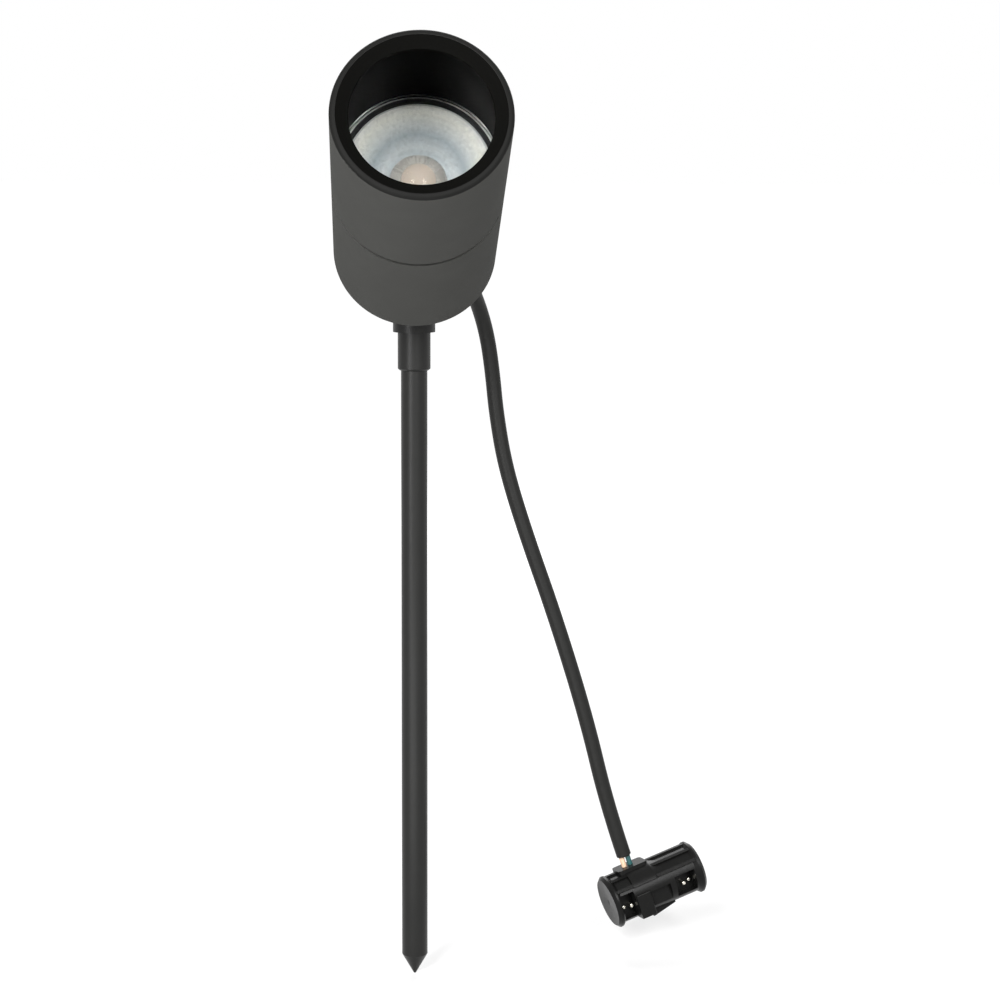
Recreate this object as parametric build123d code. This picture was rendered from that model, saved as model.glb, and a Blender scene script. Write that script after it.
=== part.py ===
from build123d import *
import os
from math import cos, pi, radians, sin, tan

# Landscape spotlight on a ground spike. Millimetres, +Z up, the lamp aims towards -Y.
# The origin is on the spike's axis at the ground line, where the bare spike starts.

# Shared clearances: a running fit, a loose fit, and faces that only just touch
RUN_CLEAR = 0.05
FIT_CLEAR = 0.1
SEAT_GAP = 0.05
END_GAP = 0.3
NEAR = 1e-4

# Reflector lamp, which sets the size of the head around it
LAMP_D = 50.0
LAMP_L = 46.0
LAMP_RIM_T = 3.0
LAMP_SHELL_T = 1.6
LAMP_NECK_D = 27.0
LAMP_CAP_L = 15.0
LAMP_CAP_END_D = 20.0
FIN_COUNT = 18
FIN_SLOT_W = 2.0
FIN_SLOT_L = 17.0
FIN_SLOT_DEPTH = 0.9
PIN_D = 1.5
PIN_SPACING = 5.3
PIN_L = 7.0
REFLECTOR_LIP = 0.6
REFLECTOR_DEPTH = 9.0
REFLECTOR_WALL = 1.2
REFLECTOR_FLANGE_W = 2.4
REFLECTOR_RINGS = 9
RING_BULGE = 0.05
DOME_D = 20.0
DOME_H = 5.0
BOARD_T = 1.2
CHIP_D = 11.0
CHIP_T = 0.6
CHIP_ROOM = 0.6

# Lamp holder and its two leads
HOLDER_W = 18.0
HOLDER_H = 14.0
HOLDER_T = 12.0
HOLDER_EDGE_R = 1.5
PIN_HOLE_CLEAR = 0.15
LEAD_D = 1.9
LEAD_SPACING = 2.8
LEAD_BEND_R = 4.0
LEAD_RISE = 8.0

# Head casing
LAMP_CLEAR = 0.25
SPIGOT_WALL = 3.15
THREAD_CLEAR = 0.2
HOOD_WALL = 1.4
HOOD_L = 56.5
RIM_EDGE_R = 1.6
RIM_LIP = 0.6
RIM_ROUND_SHARE = 0.9
RIM_LIP_L = 1.6
HOUSING_L = 61.5
HOUSING_WALL = 2.2
REAR_WALL = 4.0
REAR_EDGE_R = 1.0
SEAM_CHAMFER = 0.5
SEAM_GROOVE_W = 1.6
SEAM_GROOVE_DEPTH = 0.8
SPIGOT_L = 8.0
THREAD_LEAD = 0.6
SEAT_W = 0.8
SEAT_SHELF = 4.0
CAVITY_EDGE_R = 0.6

# Black glare baffle in the hood
BAFFLE_CLEAR = 0.1
BAFFLE_WALL = 0.8
BAFFLE_SET_BACK = 0.2
LIP_COVER = 1.25
LIP_SET_BACK = 2.6
LIP_LAND = 1.5
LIP_EDGE_R = 0.4
LIP_BACK_SLOPE = 0.5

# Glass, its gasket and the hood's seal
GLASS_T = 3.0
GLASS_CLEAR = 0.3
GLASS_CHAMFER = 0.4
GASKET_T = 1.5
GASKET_W = 1.5
GASKET_CLEAR = 0.4
TURN_GAP = 0.1
LAMP_STANDOFF = 0.3
ORING_D = 1.5
ORING_PROUD = 0.05
ORING_SET = 1.6
ORING_SLACK = 0.4

# Tilting knuckle
AIM = 23.9
PIVOT_Z = 40.0
PIVOT_D = 5.0
FORK_D = 16.0
FORK_FLAT_IN = 1.0
LUG_T = 5.0
LUG_R = 7.0
LUG_ROOT_R = 1.2
FOOT_T = 4.0
FOOT_W = 13.0
FOOT_H = 26.0
FOOT_CORNER_R = 3.0
SWING_CLEAR = 1.5
SLOT_FLOOR_GAP = 1.0
WASHER_T = 0.8
WASHER_D = 12.0
SIDE_GAP = 0.1
BOLT_HEAD_D = 9.5
BOLT_HEAD_H = 2.7
BOLT_EDGE_R = 1.2
HEX_KEY_AF = 3.0
HEX_KEY_DEPTH = 1.6
NUT_AF = 8.0
NUT_T = 2.7
BOLT_END = 0.8
LUG_SCREW_D = 4.0
LUG_SCREW_SPACING = 18.0
LUG_SCREW_HEAD_D = 7.0
LUG_SCREW_HEAD_H = 2.4
LUG_SCREW_EDGE_R = 0.8

# Stem and spike
COLLAR_D = 12.4
COLLAR_L = 14.4
COLLAR_CHAMFER = 0.6
SPIKE_D = 10.0
SPIKE_L = 237.0
POINT_L = 8.0
POINT_TIP_D = 0.8
STUD_D = 8.0
STUD_L = 5.5
SWIVEL_D = 8.0
SWIVEL_L = 7.0
GROOVE_W = 3.4
GROOVE_DEPTH = 1.0
GRUB_D = 3.0
GRUB_GAP = 0.2
GRUB_SUNK = 0.2

# Cable gland
CABLE_D = 6.0
CABLE_CLEAR = 0.05
GLAND_AF = 12.0
GLAND_EDGE = 0.4
GLAND_THREAD_D = 10.0
GLAND_WASHER_T = 1.0
GLAND_HEX_L = 3.0
GLAND_TAIL_D = 9.4
GLAND_TAIL_L = 6.5
GLAND_SEAL_T = 0.7
GLAND_SEAL_L = 6.0
GLAND_NUT_L = 11.0
GLAND_NUT_HEX_L = 5.5
GLAND_NUT_END_D = 9.0
GLAND_NUT_GAP = 0.3
GLAND_CAP_T = 3.5
GLAND_MOUTH_CLEAR = 0.3
LOCKNUT_T = 3.0
CABLE_INSIDE = 1.5

# Cable route, as a straight first run and then corners measured from the gland's mouth
CABLE_FIRST_RUN = 14.0
CABLE_OFFSETS = [
    (5.0, 25.6, -16.7),
    (8.6, 31.8, -28.7),
    (10.8, 33.8, -43.1),
    (12.4, 33.4, -59.8),
    (16.0, 32.4, -80.8),
    (23.8, 30.9, -106.3),
    (36.2, 29.4, -141.3),
    (48.7, 27.9, -181.8),
    (57.3, 26.4, -217.6),
    (64.3, 25.6, -238.4),
]
CORNER_SHARE = 0.45

# The two cores that show between the sheath and the connector
CORE_D = 2.1
CORE_WALL = 0.3
CORE_SHOWN = 4.2
CORE_DEPTH = 4.0
CORE_CLEAR = 0.1

# Clip connector at the cable's end, along its own X, with the cable coming down its Z
CONN_L = 40.1
CONN_YAW = 14.0
FLANGE_D = 21.6
FLANGE_T = 2.0
FLANGE_EDGE = 1.2
FLANGE_DISH = 0.6
BARREL_D = 19.2
FLARE_L = 1.4
RIB_COUNT = 5
RIB_STEP = 30.0
RIB_W = 1.3
RIB_H = 0.9

# Connector's cable entry: a pad for the cable, and a saddle that spreads it over the barrel
ENTRY_X = -7.4
PAD_BEFORE = 5.6
PAD_AFTER = 7.2
PAD_W = 9.0
PAD_RISE = 1.7
PAD_EDGE_R = 1.5
SADDLE_BEFORE = 3.1
SADDLE_AFTER = 7.2
SADDLE_RISE = 1.2
SADDLE_RUN_OUT = 4.2
SADDLE_HOLLOW = 0.35
SADDLE_SPAN = 65.0

# Connector's front: a key block, the relief beside it and a snap ramp under the barrel
BLOCK_X = -7.8
BLOCK_W = 6.2
BLOCK_TOP = 1.1
BLOCK_H = 10.0
BLOCK_PROUD = 0.7
BLOCK_EDGE_R = 0.5
RELIEF_TOP = 0.2
RELIEF_W = 9.3
RELIEF_DEPTH = 2.5
RAMP_GAP = 0.4
RAMP_L = 10.4
RAMP_W = 7.0
RAMP_DROP = 2.0

# Connector's windows, each with a tall and a short contact prong on its floor
WINDOW_TOP = 3.2
WINDOW_DEPTH = 7.5
LEFT_WINDOW_EDGE = 0.6
LEFT_WINDOW_W = 6.3
LEFT_WINDOW_H = 10.8
RIGHT_WINDOW_EDGE = 2.2
RIGHT_WINDOW_W = 8.9
RIGHT_WINDOW_DROP = 1.4
RIGHT_WINDOW_H = 8.8
PRONG_D = 1.8
PRONG_TALL = 3.0
PRONG_SHORT = 1.0
PRONG_ROOT = 3.0
PRONG_SPACING = 3.0
PRONG_Z = -3.4
PRONG_TIP_R = 0.5
LEFT_PRONG_IN = 1.1
RIGHT_PRONG_IN = 4.6

# Head sizes that follow from the lamp outwards
LAMP_R = LAMP_D / 2
POCKET_R = LAMP_R + LAMP_CLEAR
SPIGOT_R = POCKET_R + SPIGOT_WALL
HOOD_BORE_R = SPIGOT_R + THREAD_CLEAR
HEAD_R = HOOD_BORE_R + HOOD_WALL
CAVITY_R = HEAD_R - HOUSING_WALL
BAFFLE_R = HOOD_BORE_R - BAFFLE_CLEAR
BAFFLE_BORE_R = BAFFLE_R - BAFFLE_WALL
LIP_R = LAMP_R - LIP_COVER

# Heights along the head's own axis, from the tilt pivot to the front rim
FORK_R = FORK_D / 2
FOOT_Z = FORK_R + SWING_CLEAR
REAR_Z = FOOT_Z + FOOT_T
FLOOR_Z = REAR_Z + REAR_WALL
SEAM_Z = REAR_Z + HOUSING_L
FRONT_Z = SEAM_Z + HOOD_L
SPIGOT_Z = SEAM_Z + SPIGOT_L
GASKET_Z = SPIGOT_Z + SEAT_GAP
GLASS_Z = GASKET_Z + GASKET_T
BAFFLE_Z = GLASS_Z + GLASS_T + TURN_GAP
LAMP_FRONT_Z = GLASS_Z - LAMP_STANDOFF
RIM_SEAT_Z = LAMP_FRONT_Z - LAMP_RIM_T
LAMP_END_Z = LAMP_FRONT_Z - LAMP_L
CAP_Z = LAMP_END_Z + LAMP_CAP_L
BOWL_FLOOR_Z = LAMP_FRONT_Z - REFLECTOR_DEPTH
BOARD_Z = BOWL_FLOOR_Z - BOARD_T
REFLECTOR_R = LAMP_R - REFLECTOR_LIP

# Gland's place on the rear wall, and the levels along its own axis
GLAND_X = CAVITY_R - CAVITY_EDGE_R - GLAND_AF / 2 - GLAND_EDGE
GLAND_HEX_Z = REAR_Z - GLAND_WASHER_T
GLAND_TAIL_Z = GLAND_HEX_Z - GLAND_HEX_L
GLAND_NUT_Z = GLAND_TAIL_Z - GLAND_NUT_GAP
GLAND_MOUTH_Z = GLAND_NUT_Z - GLAND_NUT_L
LOCKNUT_END_Z = FLOOR_Z + LOCKNUT_T
CABLE_R = CABLE_D / 2
SEAL_R = CABLE_R + CABLE_CLEAR + GLAND_SEAL_T

# The head's frame: origin at the pivot, Z out through the glass, X along the pivot
HEAD = Location((0, 0, PIVOT_Z), (90 - AIM, 0, 0))
PIVOT_R = PIVOT_D / 2
SLOT_W = LUG_T + 2 * (WASHER_T + 2 * SIDE_GAP)
FLAT_X = FORK_R - FORK_FLAT_IN
SWIVEL_R = SWIVEL_D / 2 - RUN_CLEAR
GROOVE_R = SWIVEL_R - GROOVE_DEPTH

# Spacing of the cores, with a wall left between their sockets
CORE_SPACING = CORE_D + 2 * CORE_CLEAR + CORE_WALL

# Connector's radii, and the height at which the cable's cores go in
BARREL_R = BARREL_D / 2
SADDLE_R = BARREL_R + SADDLE_RISE
PAD_TOP = BARREL_R + PAD_RISE


def turned(points):
    """Solid of revolution about Z from (radius, height) corners."""
    outline = Plane.XZ * Polyline(*points, close=True)
    return revolve(make_face(outline), Axis.Z)


def along_x(radius, start, end):
    """Round bar along X from start to end."""
    return Pos((start + end) / 2, 0, 0) * Cylinder(radius, end - start, rotation=(0, 90, 0))


def upright(radius, start, end):
    """Round bar along Z from start to end."""
    return Pos(0, 0, (start + end) / 2) * Cylinder(radius, end - start)


def hex_bar(across_flats, start, end):
    """Six-sided bar along Z with flats facing +X and -X."""
    face = Plane.XY.offset(start) * RegularPolygon(across_flats / 2, 6, major_radius=False, rotation=30)
    return extrude(face, end - start)


def ring_edges(solid, radius, height):
    """Circular edges of a solid about Z at one radius and height."""
    found = []
    for edge in solid.edges().filter_by(GeomType.CIRCLE):
        if abs(edge.radius - radius) < NEAR and abs(edge.arc_center.Z - height) < NEAR:
            found.append(edge)
    return found


def front_hood():
    """Thin tube with a rounded rim and a small inner lip that stops the baffle."""
    lip_r = HOOD_BORE_R - RIM_LIP
    tube = turned([
        (HOOD_BORE_R, SEAM_Z),
        (HEAD_R - SEAM_CHAMFER, SEAM_Z),
        (HEAD_R, SEAM_Z + SEAM_CHAMFER),
        (HEAD_R, FRONT_Z),
        (lip_r, FRONT_Z),
        (lip_r, FRONT_Z - RIM_LIP_L),
        (HOOD_BORE_R, FRONT_Z - RIM_LIP_L),
    ])
    rounding = min(RIM_EDGE_R, RIM_ROUND_SHARE * (HEAD_R - lip_r))
    return fillet(ring_edges(tube, HEAD_R, FRONT_Z), rounding)


def glare_baffle():
    """Black sleeve with a bevelled front lip that hides the lamp's edge."""
    nose_r = HOOD_BORE_R - RIM_LIP - BAFFLE_CLEAR
    nose_z = FRONT_Z - RIM_LIP_L - BAFFLE_CLEAR
    lip_z = FRONT_Z - LIP_SET_BACK
    back_z = lip_z - LIP_LAND
    sleeve = turned([
        (BAFFLE_R, BAFFLE_Z),
        (BAFFLE_R, nose_z),
        (nose_r, nose_z),
        (nose_r, FRONT_Z - BAFFLE_SET_BACK),
        (LIP_R, lip_z),
        (LIP_R, back_z),
        (BAFFLE_BORE_R, back_z - LIP_BACK_SLOPE * (BAFFLE_BORE_R - LIP_R)),
        (BAFFLE_BORE_R, BAFFLE_Z),
    ])
    return fillet(ring_edges(sleeve, LIP_R, lip_z), LIP_EDGE_R)


def glass_lens():
    """Flat toughened glass with a ground edge."""
    radius = HOOD_BORE_R - GLASS_CLEAR
    disc = upright(radius, GLASS_Z, GLASS_Z + GLASS_T)
    edges = ring_edges(disc, radius, GLASS_Z) + ring_edges(disc, radius, GLASS_Z + GLASS_T)
    return chamfer(edges, GLASS_CHAMFER)


def lens_gasket():
    """Flat ring between the glass and the housing's spigot."""
    inner = LAMP_R + GASKET_CLEAR
    return upright(inner + GASKET_W, GASKET_Z, GLASS_Z) - upright(inner, GASKET_Z, GLASS_Z)


def oring_level():
    """Height of the middle of the seal's groove."""
    return SEAM_Z + ORING_SET + (ORING_D + ORING_SLACK) / 2


def hood_o_ring():
    """Rubber ring in the spigot's groove, under the hood's skirt."""
    outer = SPIGOT_R + ORING_PROUD
    return Pos(0, 0, oring_level()) * Torus(outer - ORING_D / 2, ORING_D / 2)


def lug_screw_places():
    """Two screw places on the rear wall, above and below the pivot."""
    return [(0, -LUG_SCREW_SPACING / 2), (0, LUG_SCREW_SPACING / 2)]


def rear_housing():
    """Cup with a shadow groove at the seam, a threaded spigot, a lamp seat and a drilled rear wall."""
    seat_r = LAMP_R - SEAT_W
    shelf_z = RIM_SEAT_Z - SEAT_SHELF
    groove_r = SPIGOT_R + ORING_PROUD - ORING_D - SEAT_GAP
    half_groove = (ORING_D + ORING_SLACK) / 2
    cup = turned([
        (0, REAR_Z),
        (HEAD_R, REAR_Z),
        (HEAD_R, SEAM_Z - SEAM_GROOVE_W),
        (HEAD_R - SEAM_GROOVE_DEPTH, SEAM_Z - SEAM_GROOVE_W),
        (HEAD_R - SEAM_GROOVE_DEPTH, SEAM_Z),
        (SPIGOT_R, SEAM_Z),
        (SPIGOT_R, oring_level() - half_groove),
        (groove_r, oring_level() - half_groove),
        (groove_r, oring_level() + half_groove),
        (SPIGOT_R, oring_level() + half_groove),
        (SPIGOT_R, SPIGOT_Z - THREAD_LEAD),
        (SPIGOT_R - THREAD_LEAD, SPIGOT_Z),
        (POCKET_R, SPIGOT_Z),
        (POCKET_R, RIM_SEAT_Z),
        (seat_r, RIM_SEAT_Z),
        (seat_r, shelf_z),
        (CAVITY_R, shelf_z - (CAVITY_R - seat_r)),
        (CAVITY_R, FLOOR_Z),
        (0, FLOOR_Z),
    ])
    cup = fillet(ring_edges(cup, HEAD_R, REAR_Z), REAR_EDGE_R)
    cup = fillet(ring_edges(cup, CAVITY_R, FLOOR_Z), CAVITY_EDGE_R)
    cup -= Pos(GLAND_X, 0, 0) * upright(GLAND_THREAD_D / 2 + FIT_CLEAR, REAR_Z, FLOOR_Z)
    for x, y in lug_screw_places():
        cup -= Pos(x, y, 0) * upright(LUG_SCREW_D / 2 + FIT_CLEAR, REAR_Z, FLOOR_Z)
    return cup


def hinge_lug():
    """Foot plate on the rear wall with a round-ended blade that turns on the pivot."""
    foot = extrude(Plane.XY.offset(FOOT_Z) * RectangleRounded(FOOT_W, FOOT_H, FOOT_CORNER_R), FOOT_T)
    blade_face = Pos(0, FOOT_Z / 2) * Rectangle(2 * LUG_R, FOOT_Z) + Circle(LUG_R)
    blade = extrude(Plane.YZ * blade_face, LUG_T / 2, both=True)
    lug = foot + blade
    root = [e for e in lug.edges().filter_by(Axis.Y) if abs(e.center().Z - FOOT_Z) < NEAR
            and abs(abs(e.center().X) - LUG_T / 2) < NEAR]
    lug = fillet(root, LUG_ROOT_R)
    lug -= along_x(PIVOT_R + RUN_CLEAR, -LUG_T, LUG_T)
    for x, y in lug_screw_places():
        lug -= Pos(x, y, 0) * upright(LUG_SCREW_D / 2 + RUN_CLEAR, FOOT_Z, REAR_Z)
    return lug


def lug_screws():
    """Two pan-head screws through the rear wall into the lug's foot."""
    head = upright(LUG_SCREW_HEAD_D / 2, FLOOR_Z, FLOOR_Z + LUG_SCREW_HEAD_H)
    head = fillet(ring_edges(head, LUG_SCREW_HEAD_D / 2, FLOOR_Z + LUG_SCREW_HEAD_H), LUG_SCREW_EDGE_R)
    screw = head + upright(LUG_SCREW_D / 2, FOOT_Z + END_GAP, FLOOR_Z)
    return Part() + [Pos(x, y, 0) * screw for x, y in lug_screw_places()]


def lamp_shell_r(height):
    """Outer radius of the lamp's cone at one height."""
    share = (height - CAP_Z) / (RIM_SEAT_Z - CAP_Z)
    wide = LAMP_R - SEAT_W - LAMP_CLEAR
    return LAMP_NECK_D / 2 + share * (wide - LAMP_NECK_D / 2)


def lamp_body():
    """Cast heat sink: a rim, a hollow cone and a ring of cooling slots."""
    inner = LAMP_R - REFLECTOR_LIP + FIT_CLEAR
    wide = lamp_shell_r(RIM_SEAT_Z)
    neck = LAMP_NECK_D / 2
    shell = turned([
        (LAMP_R, RIM_SEAT_Z),
        (LAMP_R, LAMP_FRONT_Z),
        (inner, LAMP_FRONT_Z),
        (inner, LAMP_FRONT_Z - REFLECTOR_WALL - FIT_CLEAR),
        (wide - LAMP_SHELL_T, RIM_SEAT_Z - LAMP_SHELL_T),
        (neck - LAMP_SHELL_T, CAP_Z),
        (neck, CAP_Z),
        (wide, RIM_SEAT_Z),
    ])
    middle = (RIM_SEAT_Z + CAP_Z) / 2
    lean = (lamp_shell_r(RIM_SEAT_Z) - lamp_shell_r(CAP_Z)) / (RIM_SEAT_Z - CAP_Z)
    lean_deg = Vector(lean, 0, 1).get_angle(Vector(0, 0, 1))
    slot = Box(2 * FIN_SLOT_DEPTH, FIN_SLOT_W, FIN_SLOT_L)
    slot = Pos(lamp_shell_r(middle), 0, middle) * Rot(0, lean_deg, 0) * slot
    return shell - [Rot(0, 0, 360 * k / FIN_COUNT) * slot for k in range(FIN_COUNT)]


def lamp_cap():
    """Insulating cap that carries the lamp's two pins."""
    neck = LAMP_NECK_D / 2
    plug_r = neck - LAMP_SHELL_T - FIT_CLEAR
    cap = turned([
        (0, LAMP_END_Z),
        (LAMP_CAP_END_D / 2, LAMP_END_Z),
        (neck, CAP_Z - LAMP_SHELL_T),
        (neck, CAP_Z),
        (plug_r, CAP_Z),
        (plug_r, CAP_Z + LAMP_SHELL_T),
        (0, CAP_Z + LAMP_SHELL_T),
    ])
    for x in (-PIN_SPACING / 2, PIN_SPACING / 2):
        cap -= Pos(x, 0, 0) * upright(PIN_D / 2 + RUN_CLEAR, LAMP_END_Z, LAMP_END_Z + PIN_L)
    return cap


def lamp_pins():
    """Two round contact pins, half in the cap and half in the holder."""
    pin = upright(PIN_D / 2, LAMP_END_Z - PIN_L, LAMP_END_Z + PIN_L - END_GAP)
    return Part() + [Pos(x, 0, 0) * pin for x in (-PIN_SPACING / 2, PIN_SPACING / 2)]


def lamp_reflector():
    """Open bowl whose inside steps down in rounded rings to the light source."""
    bottom_r = DOME_D / 2 + FIT_CLEAR
    step_r = (REFLECTOR_R - REFLECTOR_WALL - bottom_r) / REFLECTOR_RINGS
    step_z = REFLECTOR_DEPTH / REFLECTOR_RINGS
    inside = []
    for k in range(REFLECTOR_RINGS):
        start = (REFLECTOR_R - REFLECTOR_WALL - k * step_r, LAMP_FRONT_Z - k * step_z)
        end = (start[0] - step_r, start[1] - step_z)
        middle = ((start[0] + end[0]) / 2 + RING_BULGE, (start[1] + end[1]) / 2 - RING_BULGE)
        inside.append(ThreePointArc(start, middle, end))
    outside = Polyline(
        (bottom_r, BOWL_FLOOR_Z),
        (bottom_r, BOARD_Z),
        (bottom_r + REFLECTOR_FLANGE_W, BOARD_Z),
        (REFLECTOR_R - REFLECTOR_FLANGE_W, LAMP_FRONT_Z - REFLECTOR_WALL),
        (REFLECTOR_R, LAMP_FRONT_Z - REFLECTOR_WALL),
        (REFLECTOR_R, LAMP_FRONT_Z),
        (REFLECTOR_R - REFLECTOR_WALL, LAMP_FRONT_Z),
    )
    return revolve(Plane.XZ * make_face(inside + [outside]), Axis.Z)


def led_board():
    """Round circuit board under the reflector, on a post up from the lamp's cap."""
    board = upright(DOME_D / 2, BOARD_Z, BOWL_FLOOR_Z)
    post = upright(CHIP_D / 2, CAP_Z + LAMP_SHELL_T, BOARD_Z)
    return board + post


def led_chip():
    """Round phosphor-coated light source on the board."""
    return upright(CHIP_D / 2, BOWL_FLOOR_Z, BOWL_FLOOR_Z + CHIP_T)


def led_dome():
    """Clear collimating dome over the light source, hollow underneath."""
    radius = DOME_D / 2
    sphere_r = (radius ** 2 + DOME_H ** 2) / (2 * DOME_H)
    ball = Pos(0, 0, BOWL_FLOOR_Z + DOME_H - sphere_r) * Sphere(sphere_r)
    dome = ball & upright(radius, BOWL_FLOOR_Z, BOWL_FLOOR_Z + DOME_H)
    return dome - upright(CHIP_D / 2 + FIT_CLEAR, BOWL_FLOOR_Z, BOWL_FLOOR_Z + CHIP_T + CHIP_ROOM)


def lamp_holder():
    """Heat-proof block that takes the lamp's pins and passes the leads out at its side."""
    block = Box(HOLDER_W, HOLDER_H, HOLDER_T)
    block = fillet(block.edges().filter_by(Axis.Z), HOLDER_EDGE_R)
    block = Pos(0, 0, LAMP_END_Z - HOLDER_T / 2) * block
    for x in (-PIN_SPACING / 2, PIN_SPACING / 2):
        hole = upright(PIN_D / 2 + PIN_HOLE_CLEAR, LAMP_END_Z - PIN_L - END_GAP, LAMP_END_Z)
        block -= Pos(x, 0, 0) * hole
    return block


def holder_leads():
    """Two insulated leads from the cable's inner end to the side of the holder."""
    start_z = LOCKNUT_END_Z + CABLE_INSIDE
    turn_z = LAMP_END_Z - HOLDER_T + LEAD_RISE
    leads = []
    for y in (-LEAD_SPACING / 2, LEAD_SPACING / 2):
        path = FilletPolyline(
            (GLAND_X, y, start_z), (GLAND_X, y, turn_z), (HOLDER_W / 2, y, turn_z), radius=LEAD_BEND_R)
        leads.append(sweep(Plane(path @ 0, z_dir=path % 0) * Circle(LEAD_D / 2), path=path))
    return Part() + leads


def gland_washer():
    """Flat sealing ring under the gland's hexagon."""
    ring = upright(GLAND_AF / 2, GLAND_HEX_Z, REAR_Z)
    ring -= upright(GLAND_THREAD_D / 2 + FIT_CLEAR, GLAND_HEX_Z, REAR_Z)
    return Pos(GLAND_X, 0, 0) * ring


def gland_body():
    """Threaded gland body: inner thread, hexagon and outer thread over the rubber sleeve."""
    body = upright(GLAND_THREAD_D / 2, GLAND_HEX_Z, LOCKNUT_END_Z)
    body += hex_bar(GLAND_AF, GLAND_TAIL_Z, GLAND_HEX_Z)
    body += upright(GLAND_TAIL_D / 2, GLAND_TAIL_Z - GLAND_TAIL_L, GLAND_TAIL_Z)
    body -= upright(CABLE_R + GLAND_MOUTH_CLEAR, GLAND_TAIL_Z, LOCKNUT_END_Z)
    body -= upright(SEAL_R + FIT_CLEAR, GLAND_TAIL_Z - GLAND_TAIL_L, GLAND_TAIL_Z)
    return Pos(GLAND_X, 0, 0) * body


def gland_locknut():
    """Thin hexagon nut inside the housing that clamps the gland to the rear wall."""
    nut = hex_bar(GLAND_AF, FLOOR_Z, LOCKNUT_END_Z)
    nut -= upright(GLAND_THREAD_D / 2 + FIT_CLEAR, FLOOR_Z, LOCKNUT_END_Z)
    return Pos(GLAND_X, 0, 0) * nut


def gland_seal():
    """Rubber sleeve squeezed around the cable."""
    sleeve = upright(SEAL_R, GLAND_TAIL_Z - GLAND_SEAL_L, GLAND_TAIL_Z)
    sleeve -= upright(CABLE_R + CABLE_CLEAR, GLAND_TAIL_Z - GLAND_SEAL_L, GLAND_TAIL_Z)
    return Pos(GLAND_X, 0, 0) * sleeve


def gland_nut():
    """Domed clamping nut with a hexagon at its root and a rounded mouth for the cable."""
    hex_end = GLAND_NUT_Z - GLAND_NUT_HEX_L
    nut = hex_bar(GLAND_AF, hex_end, GLAND_NUT_Z)
    nut += turned([
        (0, hex_end),
        (GLAND_AF / 2, hex_end),
        (GLAND_NUT_END_D / 2, GLAND_MOUTH_Z),
        (0, GLAND_MOUTH_Z),
    ])
    nut -= upright(GLAND_TAIL_D / 2 + FIT_CLEAR, GLAND_MOUTH_Z + GLAND_CAP_T, GLAND_NUT_Z)
    nut -= upright(CABLE_R + GLAND_MOUTH_CLEAR, GLAND_MOUTH_Z, GLAND_MOUTH_Z + GLAND_CAP_T)
    return Pos(GLAND_X, 0, 0) * nut


def cable_tail():
    """The held end of the cable, through the gland and into the housing."""
    return Pos(GLAND_X, 0, 0) * upright(CABLE_R, GLAND_MOUTH_Z, LOCKNUT_END_Z + CABLE_INSIDE)


def hinge_fork():
    """Round knuckle with a slot for the lug, screw flats, and a grooved swivel below."""
    base = COLLAR_L + SEAT_GAP
    tall = PIVOT_Z - base
    side = Pos(0, PIVOT_Z - tall / 2) * Rectangle(FORK_D, tall) + Pos(0, PIVOT_Z) * Circle(FORK_R)
    fork = extrude(Plane.YZ * side, FORK_R, both=True) & upright(FORK_R, base, PIVOT_Z + FORK_R)
    slot_floor = PIVOT_Z - LUG_R - SLOT_FLOOR_GAP
    slot_top = PIVOT_Z + FORK_R
    fork -= Pos(0, 0, (slot_floor + slot_top) / 2) * Box(SLOT_W, FORK_D, slot_top - slot_floor)
    fork -= Pos(0, 0, PIVOT_Z) * along_x(PIVOT_R + RUN_CLEAR, -FORK_R, FORK_R)
    for side_x in (-1, 1):
        flat = along_x(BOLT_HEAD_D / 2 + SIDE_GAP, FLAT_X, FORK_R)
        fork -= Pos(0, 0, PIVOT_Z) * Rot(0, 0, 90 - 90 * side_x) * flat
    swivel = upright(SWIVEL_R, base - SWIVEL_L, base)
    groove_start = grub_level() - GROOVE_W / 2
    groove_end = grub_level() + GROOVE_W / 2
    swivel -= upright(SWIVEL_R, groove_start, groove_end)
    swivel += upright(GROOVE_R, groove_start, groove_end)
    return fork + swivel


def pivot_screw():
    """Button-head screw with a hexagon socket, through both cheeks and the lug."""
    head = upright(BOLT_HEAD_D / 2, 0, BOLT_HEAD_H)
    head = fillet(ring_edges(head, BOLT_HEAD_D / 2, BOLT_HEAD_H), BOLT_EDGE_R)
    head -= hex_bar(HEX_KEY_AF, BOLT_HEAD_H - HEX_KEY_DEPTH, BOLT_HEAD_H)
    screw = head + upright(PIVOT_R, -(2 * FLAT_X + NUT_T + BOLT_END), 0)
    return Pos(-FLAT_X, 0, PIVOT_Z) * Rot(0, -90, 0) * screw


def pivot_nut():
    """Thin hexagon nut on the far cheek."""
    nut = hex_bar(NUT_AF, 0, NUT_T) - upright(PIVOT_R + RUN_CLEAR, 0, NUT_T)
    return Pos(FLAT_X, 0, PIVOT_Z) * Rot(0, 90, 0) * nut


def friction_washers():
    """Two slippery washers between the lug and the fork's cheeks."""
    near = LUG_T / 2 + SIDE_GAP
    washer = along_x(WASHER_D / 2, near, near + WASHER_T)
    washer -= along_x(PIVOT_R + RUN_CLEAR, near, near + WASHER_T)
    pair = [Rot(0, 0, turn) * washer for turn in (0, 180)]
    return Part() + [Pos(0, 0, PIVOT_Z) * w for w in pair]


def grub_level():
    """Height of the swivel's locking screw on the collar."""
    return COLLAR_L + SEAT_GAP - SWIVEL_L / 2


def across_collar(radius, start, end):
    """Round bar out through the back of the collar at the locking screw's height."""
    return Pos(0, 0, grub_level()) * Rot(0, 0, 90) * along_x(radius, start, end)


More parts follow.
